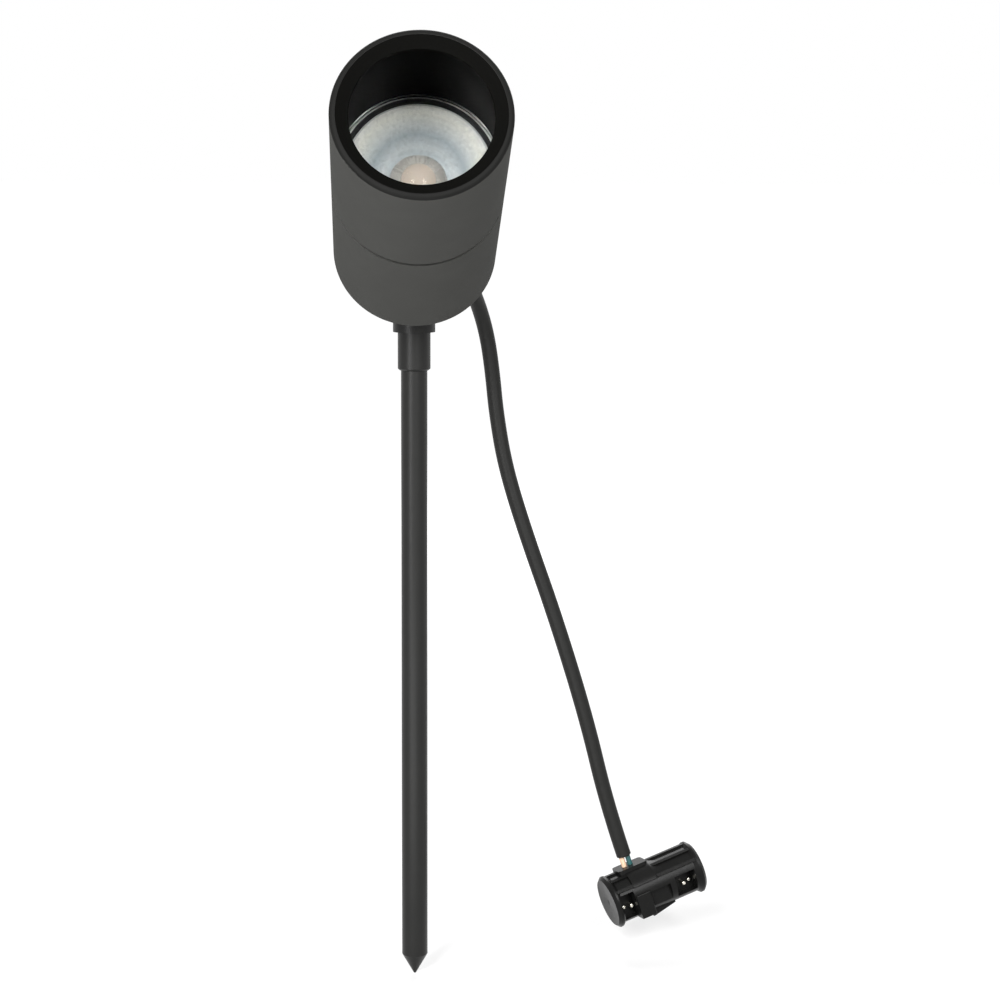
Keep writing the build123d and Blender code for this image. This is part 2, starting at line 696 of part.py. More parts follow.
def stem_collar():
    """Sleeve that joins the knuckle's swivel to the spike's stud."""
    collar = upright(COLLAR_D / 2, 0, COLLAR_L)
    collar = chamfer(ring_edges(collar, COLLAR_D / 2, 0), COLLAR_CHAMFER)
    collar -= upright(STUD_D / 2 + RUN_CLEAR, 0, STUD_L + END_GAP)
    collar -= upright(SWIVEL_D / 2, COLLAR_L - SWIVEL_L - END_GAP, COLLAR_L)
    return collar - across_collar(GRUB_D / 2 + RUN_CLEAR, 0, COLLAR_D / 2)


def swivel_grub_screw():
    """Socket set screw at the back of the collar, its end in the swivel's groove."""
    return across_collar(GRUB_D / 2, GROOVE_R + GRUB_GAP, COLLAR_D / 2 - GRUB_SUNK)


def spike():
    """Round steel spike with a cone point, and a stud that screws into the collar."""
    return turned([
        (0, -SPIKE_L),
        (POINT_TIP_D / 2, -SPIKE_L),
        (SPIKE_D / 2, POINT_L - SPIKE_L),
        (SPIKE_D / 2, 0),
        (STUD_D / 2, 0),
        (STUD_D / 2, STUD_L),
        (0, STUD_L),
    ])


def cable_corners():
    """Start, corners and end of the cable's free stretch."""
    mouth = (HEAD * Pos(GLAND_X, 0, GLAND_MOUTH_Z)).position
    first = (HEAD * Pos(GLAND_X, 0, GLAND_MOUTH_Z - CABLE_FIRST_RUN)).position
    return [mouth, first] + [mouth + Vector(*offset) for offset in CABLE_OFFSETS]


def cable_path():
    """Straight runs and tangent arcs from the gland's mouth to the connector."""
    points = cable_corners()
    radii = []
    for before, here, after in zip(points, points[1:], points[2:]):
        turn = (here - before).get_angle(after - here)
        short = min((here - before).length, (after - here).length)
        radii.append(CORNER_SHARE * short / tan(radians(turn / 2)))
    print("cable radii:", [round(r, 1) for r in radii])
    return FilletPolyline(*points, radius=radii)


def cable():
    """Free stretch of the rubber-sheathed cable."""
    path = cable_path()
    tube = sweep(Plane(path @ 0, z_dir=path % 0) * Circle(CABLE_R), path=path)
    section = pi * CABLE_R ** 2
    print("cable length:", round(path.length, 1))
    print("cable volume over section times length:", round(tube.volume / (section * path.length), 4))
    return tube


def connector_frame():
    """The connector's own frame, square to the cable's last run."""
    before, end = cable_corners()[-2:]
    up = (before - end).normalized()
    level = Vector(cos(radians(CONN_YAW)), sin(radians(CONN_YAW)), 0)
    across = (level - up * level.dot(up)).normalized()
    origin = end - across * ENTRY_X - up * (PAD_TOP + CORE_SHOWN)
    return Plane(origin, x_dir=across, z_dir=up).location


def core_places():
    """Where the two cores enter, along the connector."""
    return [ENTRY_X - CORE_SPACING / 2, ENTRY_X + CORE_SPACING / 2]


def cable_core(place):
    """One insulated core from the cut end of the sheath into the connector."""
    return Pos(place, 0, 0) * upright(CORE_D / 2, PAD_TOP - CORE_DEPTH, PAD_TOP + CORE_SHOWN)


def connector_body():
    """Dog-bone of revolution along X: a barrel between two dished end flanges."""
    half = CONN_L / 2
    flange_r = FLANGE_D / 2
    upper = [
        (0, half - FLANGE_DISH),
        (flange_r - FLANGE_EDGE, half),
        (flange_r, half - FLANGE_EDGE),
        (flange_r, half - FLANGE_T),
        (BARREL_R, half - FLANGE_T - FLARE_L),
    ]
    lower = [(r, -z) for r, z in reversed(upper)]
    return Rot(0, 90, 0) * turned(upper + lower)


def connector_ribs():
    """Grip ribs along the upper half of the barrel."""
    rib = Pos(0, 0, BARREL_R) * Box(CONN_L - 2 * FLANGE_T, RIB_W, 2 * RIB_H)
    turns = [RIB_STEP * (k - (RIB_COUNT - 1) / 2) for k in range(RIB_COUNT)]
    return [Rot(turn, 0, 0) * rib for turn in turns]


def entry_saddle():
    """Thickened band over the barrel that runs out in a hollow curve on one side."""
    start = ENTRY_X - SADDLE_BEFORE
    crest = ENTRY_X + SADDLE_AFTER
    end = crest + SADDLE_RUN_OUT
    middle = ((crest + end) / 2, BARREL_R + SADDLE_HOLLOW * SADDLE_RISE)
    outline = Polyline((end, BARREL_R), (end, 0), (start, 0), (start, SADDLE_R), (crest, SADDLE_R))
    run_out = ThreePointArc((crest, SADDLE_R), middle, (end, BARREL_R))
    band = revolve(Plane.XZ * make_face([outline, run_out]), Axis.X)
    foot = SADDLE_R * cos(radians(SADDLE_SPAN))
    keep = Pos((start + end) / 2, 0, foot + SADDLE_R / 2) * Box(end - start, 2 * SADDLE_R, SADDLE_R)
    return band & keep


def entry_pad():
    """Raised pad that the cable's cores go down into."""
    length = PAD_BEFORE + PAD_AFTER
    pad = Pos(ENTRY_X + (PAD_AFTER - PAD_BEFORE) / 2, 0, PAD_TOP / 2) * Box(length, PAD_W, PAD_TOP)
    return fillet(pad.edges().filter_by(Axis.Z), PAD_EDGE_R)


def key_block():
    """Flat key on the front that sets the connector the right way round in its sleeve."""
    deep = BARREL_R + BLOCK_PROUD
    block = Pos(BLOCK_X, -deep / 2, BLOCK_TOP - BLOCK_H / 2) * Box(BLOCK_W, deep, BLOCK_H)
    front = block.faces().sort_by(Axis.Y)[0]
    return fillet(front.edges(), BLOCK_EDGE_R)


def snap_ramp():
    """Wedge under the barrel that snaps behind the sleeve's edge."""
    start = BLOCK_X + BLOCK_W / 2 + RAMP_GAP
    outline = Polyline((start, 0), (start, -BARREL_R - RAMP_DROP), (start + RAMP_L, -BARREL_R),
                       (start + RAMP_L, 0), close=True)
    return extrude(Plane.XZ * make_face(outline), RAMP_W / 2, both=True)


def front_relief():
    """Shallow cut beside the key block, open at the bottom."""
    start = BLOCK_X + BLOCK_W / 2
    tall = RELIEF_TOP + BARREL_R
    cut = Box(RELIEF_W, 2 * RELIEF_DEPTH, tall)
    return Pos(start + RELIEF_W / 2, -BARREL_R, RELIEF_TOP - tall / 2) * cut


def window_spans():
    """Start and end of the left and the right window along the connector."""
    inner_end = CONN_L / 2 - FLANGE_T
    left = -inner_end + LEFT_WINDOW_EDGE
    right = inner_end - RIGHT_WINDOW_EDGE
    return [(left, left + LEFT_WINDOW_W), (right - RIGHT_WINDOW_W, right)]


def contact_windows():
    """The two openings over the contact prongs."""
    tops = [WINDOW_TOP, WINDOW_TOP - RIGHT_WINDOW_DROP]
    talls = [LEFT_WINDOW_H, RIGHT_WINDOW_H]
    cuts = []
    for (start, end), top, tall in zip(window_spans(), tops, talls):
        cut = Box(end - start, 2 * WINDOW_DEPTH, tall)
        cuts.append(Pos((start + end) / 2, -BARREL_R, top - tall / 2) * cut)
    return cuts


def prong_bars(grow, heights):
    """Bars at the four prong places, from their roots to their heights above the window floor."""
    (_, left_end), (right_start, _) = window_spans()
    floor_y = WINDOW_DEPTH - BARREL_R
    bars = []
    for inner, outward in ((left_end - LEFT_PRONG_IN, -1), (right_start + RIGHT_PRONG_IN, 1)):
        for k, height in enumerate(heights):
            place = Pos(inner + outward * k * PRONG_SPACING, floor_y, PRONG_Z)
            bars.append(place * Rot(90, 0, 0) * upright(PRONG_D / 2 + grow, -PRONG_ROOT, height))
    return bars


def connector_core():
    """Moulded core of the connector, with sockets for the cable's cores and the prongs."""
    body = connector_body() + connector_ribs() + [entry_saddle(), entry_pad(), key_block(), snap_ramp()]
    body -= [front_relief()] + contact_windows() + prong_bars(RUN_CLEAR, (0, 0))
    socket = upright(CORE_D / 2 + CORE_CLEAR, PAD_TOP - CORE_DEPTH, PAD_TOP)
    return body - [Pos(place, 0, 0) * socket for place in core_places()]


def connector_contacts():
    """Four plated contact prongs standing in the connector's windows, a tall and a short one in each."""
    prongs = []
    for bar in prong_bars(0, (PRONG_TALL, PRONG_SHORT)):
        tip = bar.edges().filter_by(GeomType.CIRCLE).sort_by(Axis.Y)[0]
        prongs.append(fillet(tip, PRONG_TIP_R))
    return Part() + prongs


def head_parts():
    """Every piece modelled in the head's frame."""
    return {
        "front_hood": front_hood(),
        "glare_baffle": glare_baffle(),
        "glass_lens": glass_lens(),
        "lens_gasket": lens_gasket(),
        "hood_o_ring": hood_o_ring(),
        "rear_housing": rear_housing(),
        "hinge_lug": hinge_lug(),
        "lug_screws": lug_screws(),
        "lamp_body": lamp_body(),
        "lamp_cap": lamp_cap(),
        "lamp_pins": lamp_pins(),
        "lamp_reflector": lamp_reflector(),
        "led_board": led_board(),
        "led_chip": led_chip(),
        "led_dome": led_dome(),
        "lamp_holder": lamp_holder(),
        "holder_leads": holder_leads(),
        "gland_washer": gland_washer(),
        "gland_body": gland_body(),
        "gland_locknut": gland_locknut(),
        "gland_seal": gland_seal(),
        "gland_nut": gland_nut(),
        "cable_tail": cable_tail(),
    }


def stem_parts():
    """Every piece modelled in the spike's frame."""
    return {
        "hinge_fork": hinge_fork(),
        "pivot_screw": pivot_screw(),
        "pivot_nut": pivot_nut(),
        "friction_washers": friction_washers(),
        "stem_collar": stem_collar(),
        "swivel_grub_screw": swivel_grub_screw(),
        "spike": spike(),
        "cable": cable(),
    }


def connector_parts():
    """Every piece modelled in the connector's frame."""
    brown, blue = core_places()
    return {
        "brown_core": cable_core(brown),
        "blue_core": cable_core(blue),
        "connector_core": connector_core(),
        "connector_contacts": connector_contacts(),
    }


def main():
    os.makedirs("parts", exist_ok=True)
    nodes = dict(stem_parts())
    for name, shape in head_parts().items():
        nodes[name] = HEAD * shape
    at_connector = connector_frame()
    for name, shape in connector_parts().items():
        nodes[name] = at_connector * shape
    for name, shape in nodes.items():
        export_step(shape, f"parts/{name}.step")


main()
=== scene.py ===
# %% [markdown]
# # A landscape spotlight on a ground spike
# The object is a garden light: a powder-coated head on a tilting knuckle, a long round spike that
# goes into the soil, and a rubber cable that ends in a clip connector. The construction model gives
# every rigid shape. This lesson adds what a construction model leaves out: the cable as one smooth
# line, the screw thread, the finishes, the light and the camera.

# %% Load the construction model
import math

import bpy
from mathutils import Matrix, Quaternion, Vector


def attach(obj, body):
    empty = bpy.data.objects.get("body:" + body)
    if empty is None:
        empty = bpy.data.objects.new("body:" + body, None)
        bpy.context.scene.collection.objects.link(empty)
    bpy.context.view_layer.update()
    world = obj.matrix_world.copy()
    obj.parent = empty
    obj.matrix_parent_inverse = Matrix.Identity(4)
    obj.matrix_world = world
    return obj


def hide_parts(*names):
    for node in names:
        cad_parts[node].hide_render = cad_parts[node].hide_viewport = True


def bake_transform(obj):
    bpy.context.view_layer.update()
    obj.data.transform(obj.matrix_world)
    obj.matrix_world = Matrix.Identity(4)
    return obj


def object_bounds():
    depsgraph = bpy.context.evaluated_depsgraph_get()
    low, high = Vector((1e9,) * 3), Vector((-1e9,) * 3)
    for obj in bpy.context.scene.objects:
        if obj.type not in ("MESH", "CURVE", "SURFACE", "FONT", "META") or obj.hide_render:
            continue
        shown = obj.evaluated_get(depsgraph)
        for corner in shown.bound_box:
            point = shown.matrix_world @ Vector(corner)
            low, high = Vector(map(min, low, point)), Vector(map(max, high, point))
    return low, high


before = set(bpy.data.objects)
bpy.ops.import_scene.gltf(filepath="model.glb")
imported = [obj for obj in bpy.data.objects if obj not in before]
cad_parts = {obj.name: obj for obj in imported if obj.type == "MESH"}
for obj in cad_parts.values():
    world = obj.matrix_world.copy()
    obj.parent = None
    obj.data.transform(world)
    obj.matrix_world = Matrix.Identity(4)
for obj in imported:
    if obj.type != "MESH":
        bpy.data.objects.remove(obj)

cad_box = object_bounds()
MM = 0.001

# %% [markdown]
# ## The camera
# The photograph was taken from in front, a little above the head, with a moderate telephoto lens.
# The place, the direction and the lens come from lining up the rim, the seam, the lamp and the
# spike with the picture. A camera looks along its own -Z, so a tracking rotation turns that axis to
# the direction, and a last small turn about it gives the slight roll that the photograph has.

# %% Camera at the photograph's angle
CAMERA_PLACE = Vector((-19.19, -875.55, 76.52)) * MM
CAMERA_LOOK = Vector((0.05857, 0.98805, -0.14257))
CAMERA_ROLL = math.radians(0.233)
CAMERA_LENS = 83.53
CAMERA_REACH = 50.0


def put_in_scene(name, data):
    """New object with this data, linked to the scene."""
    made = bpy.data.objects.new(name, data)
    bpy.context.scene.collection.objects.link(made)
    return made


camera_data = bpy.data.cameras.new("photo_camera")
camera_data.lens = CAMERA_LENS
camera_data.clip_end = CAMERA_REACH
camera = put_in_scene("photo_camera", camera_data)
camera.location = CAMERA_PLACE
camera.rotation_mode = "QUATERNION"
camera.rotation_quaternion = (CAMERA_LOOK.to_track_quat("-Z", "Y")
                              @ Quaternion((0, 0, 1), CAMERA_ROLL))
bpy.context.scene.camera = camera
print("camera", [round(x, 3) for x in camera.location], "lens", camera_data.lens)

# %% [markdown]
# ## The head's own frame
# The head leans back from level, so many later steps think in its frame: the pivot is the origin,
# "forward" runs out through the glass, and a radius is measured from that line. These few values
# repeat the construction sizes that the finishes and the thread need.

# %% Head axis and sizes
AIM = math.radians(23.9)
PIVOT = Vector((0, 0, 40.0)) * MM
FORWARD = Vector((0, -math.cos(AIM), math.sin(AIM)))
HEAD_UP = Vector((0, math.sin(AIM), math.cos(AIM)))
HEAD_SIDE = Vector((1, 0, 0))
SEAM_Z = 75.0 * MM
SPIGOT_Z = 83.0 * MM
SPIGOT_R = 28.4 * MM
LAMP_R = 25.0 * MM
FRONT_Z = 131.5 * MM
RIM_EDGE_R = 1.6 * MM
print("seam", round(SEAM_Z / MM, 1), "mm in front of the pivot")

# %% [markdown]
# ## The cable
# A real rubber cable leaves its gland straight, bends once under its own weight and then hangs,
# with the connector's small weight at its end. A curve with these corners as control points gives
# that soft line: a NURBS spline of order 3 never kinks. The real cable flexes when the head tilts.
# The curve could simply be given a round section; here the line is read back as points and
# skinned as a mesh tube.

# %% Cable route as one smooth line
CABLE_D = 6.0 * MM
MOUTH_X = 20.8 * MM
MOUTH_Z = -1.8 * MM
FIRST_RUN = 14.0 * MM
CABLE_OFFSETS = [
    (5.0, 25.6, -16.7),
    (8.6, 31.8, -28.7),
    (10.8, 33.8, -43.1),
    (12.4, 33.4, -59.8),
    (16.0, 32.4, -80.8),
    (23.8, 30.9, -106.3),
    (36.2, 29.4, -141.3),
    (48.7, 27.9, -181.8),
    (57.3, 26.4, -217.6),
    (64.3, 25.6, -238.4),
]
LINE_STEPS = 24

mouth = PIVOT + HEAD_SIDE * MOUTH_X + FORWARD * MOUTH_Z
corners = [mouth, mouth - FORWARD * FIRST_RUN]
corners += [mouth + Vector(offset) * MM for offset in CABLE_OFFSETS]
curve = bpy.data.curves.new("cable_line", "CURVE")
curve.dimensions = "3D"
spline = curve.splines.new("NURBS")
spline.points.add(len(corners) - 1)
for point, corner in zip(spline.points, corners):
    point.co = (*corner, 1)
spline.order_u = 3
spline.use_endpoint_u = True
spline.resolution_u = LINE_STEPS
line_holder = bpy.data.objects.new("cable_line", curve)
line_mesh = bpy.data.meshes.new_from_object(line_holder)
cable_line = [v.co.copy() for v in line_mesh.vertices]
bpy.data.objects.remove(line_holder)
bpy.data.meshes.remove(line_mesh)
cable_length = sum((b - a).length for a, b in zip(cable_line, cable_line[1:]))
print("cable line has", len(cable_line), "points and is", round(cable_length / MM, 1), "mm long")

# %% Directions along the line


def stations(line):
    """Place, direction and a sideways direction that never twists, at each point of a line."""
    along = [(b - a).normalized() for a, b in zip(line, line[1:])]
    side = along[0].orthogonal().normalized()
    stops = []
    for k, place in enumerate(line):
        ahead = along[min(k, len(along) - 1)]
        behind = along[max(k - 1, 0)]
        run = (ahead + behind).normalized()
        side = (side - run * side.dot(run)).normalized()
        stops.append((place, run, side))
    return stops


cable_stops = stations(cable_line)
bends = [a[1].angle(b[1]) for a, b in zip(cable_stops, cable_stops[1:])]
print("cable bends through", round(math.degrees(sum(bends))), "degrees in all")

# %% Skin the line as a tube
TUBE_SIDES = 32
CUT_EDGE = 0.35 * MM
CUT_SHARP = math.radians(35)


def tube_faces(rings, sides):
    """Faces that join rings of points to a closed tube."""
    faces = []
    for ring in range(rings - 1):
        for k in range(sides):
            a = ring * sides + k
            b = ring * sides + (k + 1) % sides
            faces.append((a, b, b + sides, a + sides))
    faces.append(tuple(reversed(range(sides))))
    faces.append(tuple(range((rings - 1) * sides, rings * sides)))
    return faces


def smooth_mesh(name, points, faces, sharp):
    """Mesh that shades smoothly over every edge below an angle."""
    mesh = bpy.data.meshes.new(name)
    mesh.from_pydata([tuple(p) for p in points], [], faces)
    mesh.shade_smooth()
    mesh.set_sharp_from_angle(angle=sharp)
    return mesh


def tube_mesh(name, stops, radius, cut):
    """Closed tube with both ends cut square and their edges slightly broken."""
    first, last = stops[0], stops[-1]
    rings = [(first[0], first, radius - cut), (first[0] + first[1] * cut, first, radius)]
    rings += [(stop[0], stop, radius) for stop in stops[1:-1]]
    rings += [(last[0] - last[1] * cut, last, radius), (last[0], last, radius - cut)]
    points = []
    for place, (_, run, side), size in rings:
        other = run.cross(side)
        for k in range(TUBE_SIDES):
            turn = 2 * math.pi * k / TUBE_SIDES
            points.append(place + (side * math.cos(turn) + other * math.sin(turn)) * size)
    return smooth_mesh(name, points, tube_faces(len(rings), TUBE_SIDES), CUT_SHARP)


cable = put_in_scene("rubber_cable",
                     tube_mesh("rubber_cable", cable_stops, CABLE_D / 2, CUT_EDGE))
print("cable tube has", len(cable.data.polygons), "faces")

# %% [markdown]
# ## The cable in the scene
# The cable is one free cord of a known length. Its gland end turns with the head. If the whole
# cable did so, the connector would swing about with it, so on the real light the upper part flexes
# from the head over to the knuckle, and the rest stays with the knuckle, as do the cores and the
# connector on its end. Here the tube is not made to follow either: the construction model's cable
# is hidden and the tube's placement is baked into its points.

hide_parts("cable")
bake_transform(cable)

# %% [markdown]
# ## The hood's thread
# The hood screws onto the housing's spigot. In the construction model both are plain cylinders,
# because a thread is too fine to calculate with. Seen with the hood unscrewed, the spigot has a
# real ridge that winds around it, one pitch of 1.5 mm a turn. A bump in the finish would leave the
# outline smooth, so it is drawn here as a ridge swept along a helix, which grows out of the spigot
# at both ends.

# %% Thread ridge on the spigot
PITCH = 1.5 * MM
RIDGE_H = 0.14 * MM
RIDGE_W = 0.95 * MM
CREST_W = RIDGE_W / 4
RIDGE_ROOT = 0.08 * MM
RIDGE_SHARP = math.radians(25)
THREAD_START = SEAM_Z + 4.2 * MM
THREAD_END = SPIGOT_Z - 0.7 * MM
TURN_STEPS = 120
GROW_STEPS = TURN_STEPS / 6
LEAST_RISE = 0.05


def at_head(radius, turn, height):
    """Point in the row frame from a radius, a turn and a height in the head's frame."""
    out = HEAD_SIDE * math.cos(turn) + HEAD_UP * math.sin(turn)
    return PIVOT + out * radius + FORWARD * height


steps = int(TURN_STEPS * (THREAD_END - THREAD_START) / PITCH)
root = SPIGOT_R - RIDGE_ROOT
thread_points = []
for k in range(steps + 1):
    turn = 2 * math.pi * k / TURN_STEPS
    height = THREAD_START + PITCH * k / TURN_STEPS
    grown = min(1.0, k / GROW_STEPS, (steps - k) / GROW_STEPS)
    crest = root + (RIDGE_H + RIDGE_ROOT) * max(grown, LEAST_RISE)
    profile = ((root, -RIDGE_W / 2), (crest, -CREST_W / 2), (crest, CREST_W / 2),
               (root, RIDGE_W / 2))
    thread_points += [at_head(reach, turn, height + offset) for reach, offset in profile]
thread = put_in_scene("spigot_thread",
                      smooth_mesh("spigot_thread", thread_points,
                                  tube_faces(steps + 1, len(profile)), RIDGE_SHARP))
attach(thread, "head")
print("thread has", round(steps / TURN_STEPS, 1), "turns")

# %% [markdown]
# ## Small tools for finishes
# Colours are written as the hex values that a colour picker shows, and shaders count in linear
# light, so one function turns the first into the second. Another adds a shader node, sets its
# values and joins its inputs, which is all that any material below needs. The rest start a
# material, work out a pattern's scale from its size in millimetres, and give a finish to whole
# pieces or to some of a piece's faces.

# %% Colour, node and pattern helpers


def linear(code):
    """Linear colour with alpha from an sRGB hex code."""
    parts = [int(code[k:k + 2], 16) / 255 for k in (1, 3, 5)]
    return tuple(c / 12.92 if c <= 0.04045 else ((c + 0.055) / 1.055) ** 2.4
                 for c in parts) + (1.0,)


def add(tree, kind, values=None, joins=None):
    """Adds a node: values sets its properties or sockets, joins links its sockets to outputs."""
    made = tree.nodes.new(kind)
    for name, value in (values or {}).items():
        if isinstance(name, str) and hasattr(made, name):
            setattr(made, name, value)
        else:
            made.inputs[name].default_value = value
    for name, output in (joins or {}).items():
        tree.links.new(output, made.inputs[name])
    return made


def material(name):
    """Empty node material and its tree."""
    made = bpy.data.materials.new(name)
    made.use_nodes = True
    made.node_tree.nodes.clear()
    return made, made.node_tree


def per_metre(size_mm):
    """Texture scale for a pattern whose cells are this many millimetres wide."""
    return 1.0 / (size_mm * MM)


print("middle grey #808080 is", round(linear("#808080")[0], 3), "in linear light")

# %% Helpers that dress pieces and faces


def dress(finish, *names):
    """Gives pieces one finish in place of what they came with."""
    for name in names:
        piece = bpy.data.objects[name]
        piece.data.materials.clear()
        piece.data.materials.append(finish)
    print(finish.name, "on", ", ".join(names))


def dress_faces(finish, name, chosen):
    """Gives a second finish to those faces of a dressed piece for which chosen is true."""
    mesh = bpy.data.objects[name].data
    mesh.materials.append(finish)
    faces = [face for face in mesh.polygons if chosen(face)]
    for face in faces:
        face.material_index = 1
    print(finish.name, "on", len(faces), "faces of", name)


# %% [markdown]
# ## Powder coat
# The head's casing is die-cast aluminium with a deep matt anthracite powder coat, which hardly
# shines at all. The stem and the spike are steel with a black coat of more gloss, so that a lamp
# draws a soft line along them. Powder melts into a skin with a very fine orange peel, slightly
# uneven in tone. One flat colour would look like paper, so a soft grain of about 0.5 mm gives the
# peel, and a slow cloud of about 14 mm the unevenness. The hood's rounded mouth edge has the
# anthracite coat too, but its faces get a black coat: painted shade for the dark that falls there.

# %% Powder coats on casing, stem and spike
CLOUD_MM = 14.0
PEEL_MM = 0.5
PEEL_DEPTH = 0.05 * MM


def powder_coat(name, dark, light, roughness, specular):
    """Powder coat with a fine peel and a faint cloudiness."""
    made, tree = material(name)
    where = add(tree, "ShaderNodeTexCoord").outputs["Object"]
    cloud = add(tree, "ShaderNodeTexNoise", {"Scale": per_metre(CLOUD_MM), "Detail": 2.0},
                {"Vector": where})
    peel = add(tree, "ShaderNodeTexNoise", {"Scale": per_metre(PEEL_MM), "Detail": 3.0},
               {"Vector": where})
    tone = add(tree, "ShaderNodeMix", {"data_type": "RGBA", 6: linear(dark), 7: linear(light)},
               {0: cloud.outputs["Fac"]})
    gloss = add(tree, "ShaderNodeMapRange",
                {"To Min": roughness - 0.05, "To Max": roughness + 0.07},
                {"Value": peel.outputs["Fac"]})
    bump = add(tree, "ShaderNodeBump", {"Strength": 0.25, "Distance": PEEL_DEPTH},
               {"Height": peel.outputs["Fac"]})
    skin = add(tree, "ShaderNodeBsdfPrincipled", {"Specular IOR Level": specular},
               {"Base Color": tone.outputs[2], "Roughness": gloss.outputs[0],
                "Normal": bump.outputs[0]})
    add(tree, "ShaderNodeOutputMaterial", None, {"Surface": skin.outputs[0]})
    return made


dress(powder_coat("matt_anthracite_powder_coat", "#434341", "#484846",
                  roughness=0.7, specular=0.02),
      "front_hood", "rear_housing", "hinge_lug")
dress(powder_coat("satin_black_powder_coat", "#121211", "#171716",
                  roughness=0.36, specular=0.24),
      "hinge_fork", "stem_collar", "spike")

# %% Painted shade: black coat on the hood's rounded mouth edge
PAINTED_SHADE_FACING = 0.3


def on_painted_shade_edge(face):
    """Whether a face of the hood lies on its rounded edge and looks forward, where shade is
    painted.
    """
    height = (face.center - PIVOT).dot(FORWARD)
    return height > FRONT_Z - RIM_EDGE_R and face.normal.dot(FORWARD) > PAINTED_SHADE_FACING


# Painted shade: these forward-facing edge faces get a black coat in place of the shade that falls
# on them.
dress_faces(powder_coat("mouth_edge_painted_shade_coat", "#10100f", "#151514",
                        roughness=0.6, specular=0.08),
            "front_hood", on_painted_shade_edge)

# %% [markdown]
# ## Black moulded baffle
# The sleeve inside the hood stops glare, so it is moulded in black plastic. Its lip has a
# spark-eroded skin that throws back almost no light: a fine grain and a low gloss keep the bevel
# readable without shine. The real grain is about 0.1 mm, too fine to show, and is drawn coarser,
# at 0.6 mm. The bore behind the lip was drawn off a smoother core, so it has a satin skin that
# shines a little at a low angle. It is one moulding with two skins, so the faces of the bore get
# the second one.

# %% Black mouldings on lip and bore
EROSION_MM = 0.6
EROSION_DEPTH = 0.05 * MM
BORE_FACING = -0.9


def black_moulding(name, dark, light, roughness, specular):
    """Black moulded plastic with a fine grain."""
    made, tree = material(name)
    where = add(tree, "ShaderNodeTexCoord").outputs["Object"]
    grain = add(tree, "ShaderNodeTexNoise", {"Scale": per_metre(EROSION_MM), "Detail": 2.0},
                {"Vector": where})
    tone = add(tree, "ShaderNodeMix", {"data_type": "RGBA", 6: linear(dark), 7: linear(light)},
               {0: grain.outputs["Fac"]})
    bump = add(tree, "ShaderNodeBump", {"Strength": 0.3, "Distance": EROSION_DEPTH},
               {"Height": grain.outputs["Fac"]})
    skin = add(tree, "ShaderNodeBsdfPrincipled",
               {"Specular IOR Level": specular, "Roughness": roughness},
               {"Base Color": tone.outputs[2], "Normal": bump.outputs[0]})
    add(tree, "ShaderNodeOutputMaterial", None, {"Surface": skin.outputs[0]})
    return made


def in_bore(face):
    """Whether a face of the baffle looks straight at the head's axis."""
    out = face.center - PIVOT
    away = out - FORWARD * out.dot(FORWARD)
    return face.normal.dot(away.normalized()) < BORE_FACING


dress(black_moulding("spark_eroded_black_moulding", "#060605", "#0a0a09",
                     roughness=0.7, specular=0.02), "glare_baffle")
dress_faces(black_moulding("satin_black_moulding", "#060605", "#0a0a09",
                           roughness=0.5, specular=0.015), "glare_baffle", in_bore)

# %% [markdown]
# ## Glass
# The lens is toughened float glass, clear with a breath of grey-green. A mix of a mirror and a
# clear shader could stand for it, but a transmitting shader also bends the view of the lamp, as the
# real sheet does. Glass is smooth, so the only texture is a trace of waviness far too slight to
# see, which keeps reflections from being perfect.

# %% Toughened glass
WAVE_MM = 9.0
WAVE_DEPTH = 0.02 * MM

glass, tree = material("toughened_float_glass")
where = add(tree, "ShaderNodeTexCoord").outputs["Object"]
wave = add(tree, "ShaderNodeTexNoise", {"Scale": per_metre(WAVE_MM), "Detail": 1.0},
           {"Vector": where})
bump = add(tree, "ShaderNodeBump", {"Strength": 0.02, "Distance": WAVE_DEPTH},
           {"Height": wave.outputs["Fac"]})
skin = add(tree, "ShaderNodeBsdfPrincipled",
           {"Base Color": linear("#fdfefd"), "Roughness": 0.0, "IOR": 1.5,
            "Transmission Weight": 1.0},
           {"Normal": bump.outputs[0]})
add(tree, "ShaderNodeOutputMaterial", None, {"Surface": skin.outputs[0]})
dress(glass, "glass_lens")

# %% [markdown]
# ## Black rubber and the cable's sheath
# Seals are moulded silicone, soft and matt. The cable's sheath is extruded rubber: drawn out of a
# die, it has a satin skin with a faint unevenness along it. Both are the same kind of skin with
# cells of another size, so one function makes both.

# %% Rubber finishes


def rubber(name, dark, light, roughness, specular, cell_mm, depth_mm):
    """Rubber skin with a soft unevenness of a given cell size."""
    made, tree = material(name)
    where = add(tree, "ShaderNodeTexCoord").outputs["Object"]
    uneven = add(tree, "ShaderNodeTexNoise", {"Scale": per_metre(cell_mm), "Detail": 3.0},
                 {"Vector": where})
    tone = add(tree, "ShaderNodeMix", {"data_type": "RGBA", 6: linear(dark), 7: linear(light)},
               {0: uneven.outputs["Fac"]})
    bump = add(tree, "ShaderNodeBump", {"Strength": 0.4, "Distance": depth_mm * MM},
               {"Height": uneven.outputs["Fac"]})
    skin = add(tree, "ShaderNodeBsdfPrincipled",
               {"Roughness": roughness, "Specular IOR Level": specular},
               {"Base Color": tone.outputs[2], "Normal": bump.outputs[0]})
    add(tree, "ShaderNodeOutputMaterial", None, {"Surface": skin.outputs[0]})
    return made


dress(rubber("moulded_silicone", "#0d0d0d", "#161616", roughness=0.6, specular=0.4,
             cell_mm=1.2, depth_mm=0.03),
      "lens_gasket", "hood_o_ring", "gland_seal", "gland_washer")
dress(rubber("extruded_rubber_sheath", "#151514", "#1b1b1a", roughness=0.45, specular=0.17,
             cell_mm=2.2, depth_mm=0.05),
      "rubber_cable", "cable_tail")

